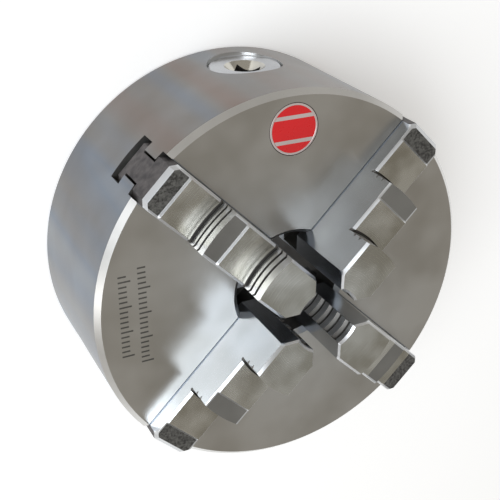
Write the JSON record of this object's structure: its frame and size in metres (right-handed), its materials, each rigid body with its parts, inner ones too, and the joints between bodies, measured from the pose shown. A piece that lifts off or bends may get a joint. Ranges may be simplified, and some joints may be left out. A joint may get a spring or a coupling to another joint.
{
  "type": "lathe chuck",
  "caption": "Self-centring scroll chuck with stepped jaws, spiral scroll plate, bevel pinions with square key sockets and a through bore.",
  "frame": {"origin": "centre of the rear mounting face, on the chuck's axis", "axes": "+Z along the chuck's axis from the rear face towards the jaws, +Y through the pinion that the badge is next to, jaws at 45, 135, 225 and 315 degrees from +X"},
  "size_m": [0.16, 0.16, 0.095],
  "materials": {
    "body_iron": "fine turned and ground, bright",
    "cover_iron": "turned",
    "scroll_steel": "machined and ground",
    "pinion_steel": "polished",
    "jaw_steel": "hardened and ground, with dark unground ledges",
    "screw_steel": "black oxide",
    "badge_enamel": "gloss red with a pale rim"
  },
  "bodies": {
    "chuck": {"chuck_body": "body_iron", "back_cover": "cover_iron", "cover_screw_1": "screw_steel", "cover_screw_2": "screw_steel", "cover_screw_3": "screw_steel", "cover_screw_4": "screw_steel", "cover_screw_5": "screw_steel", "cover_screw_6": "screw_steel", "pinion_retaining_screw_1": "screw_steel", "pinion_retaining_screw_2": "screw_steel", "pinion_retaining_screw_3": "screw_steel", "badge": "badge_enamel"},
    "scroll": {"scroll_plate": "scroll_steel"},
    "pinion_1": {"pinion_1": "pinion_steel"},
    "pinion_2": {"pinion_2": "pinion_steel"},
    "pinion_3": {"pinion_3": "pinion_steel"},
    "jaw_1": {"jaw_1": "jaw_steel"},
    "jaw_2": {"jaw_2": "jaw_steel"},
    "jaw_3": {"jaw_3": "jaw_steel"},
    "jaw_4": {"jaw_4": "jaw_steel"}
  },
  "joints": [
    {"name": "scroll_spin", "type": "hinge", "parent": "chuck", "child": "scroll", "pos_m": [0, 0, 0.043], "axis": [0, 0, 1], "range_deg": [-1035, 315]},
    {"name": "jaw_1_slide", "type": "slide", "parent": "chuck", "child": "jaw_1", "axis": [0.7071, 0.7071, 0], "range_m": [-0.00705, 0.02305]},
    {"name": "jaw_2_slide", "type": "slide", "parent": "chuck", "child": "jaw_2", "axis": [-0.7071, 0.7071, 0], "range_m": [-0.00705, 0.02305]},
    {"name": "jaw_3_slide", "type": "slide", "parent": "chuck", "child": "jaw_3", "axis": [-0.7071, -0.7071, 0], "range_m": [-0.00705, 0.02305]},
    {"name": "jaw_4_slide", "type": "slide", "parent": "chuck", "child": "jaw_4", "axis": [0.7071, -0.7071, 0], "range_m": [-0.00705, 0.02305]},
    {"name": "pinion_1_spin", "type": "hinge", "parent": "chuck", "child": "pinion_1", "pos_m": [0, 0.07, 0.02362], "axis": [0, 1, 0], "range_deg": [-1580, 5180]},
    {"name": "pinion_2_spin", "type": "hinge", "parent": "chuck", "child": "pinion_2", "pos_m": [-0.06062, -0.035, 0.02362], "axis": [-0.866, -0.5, 0], "range_deg": [-1580, 5180]},
    {"name": "pinion_3_spin", "type": "hinge", "parent": "chuck", "child": "pinion_3", "pos_m": [0.06062, -0.035, 0.02362], "axis": [0.866, -0.5, 0], "range_deg": [-1580, 5180]}
  ],
  "couplings": [
    {"joint": "jaw_1_slide", "follows": "scroll_spin", "m_per_rad": -0.0012732},
    {"joint": "jaw_2_slide", "follows": "scroll_spin", "m_per_rad": -0.0012732},
    {"joint": "jaw_3_slide", "follows": "scroll_spin", "m_per_rad": -0.0012732},
    {"joint": "jaw_4_slide", "follows": "scroll_spin", "m_per_rad": -0.0012732},
    {"joint": "pinion_1_spin", "follows": "scroll_spin", "ratio": -5},
    {"joint": "pinion_2_spin", "follows": "scroll_spin", "ratio": -5},
    {"joint": "pinion_3_spin", "follows": "scroll_spin", "ratio": -5}
  ]
}
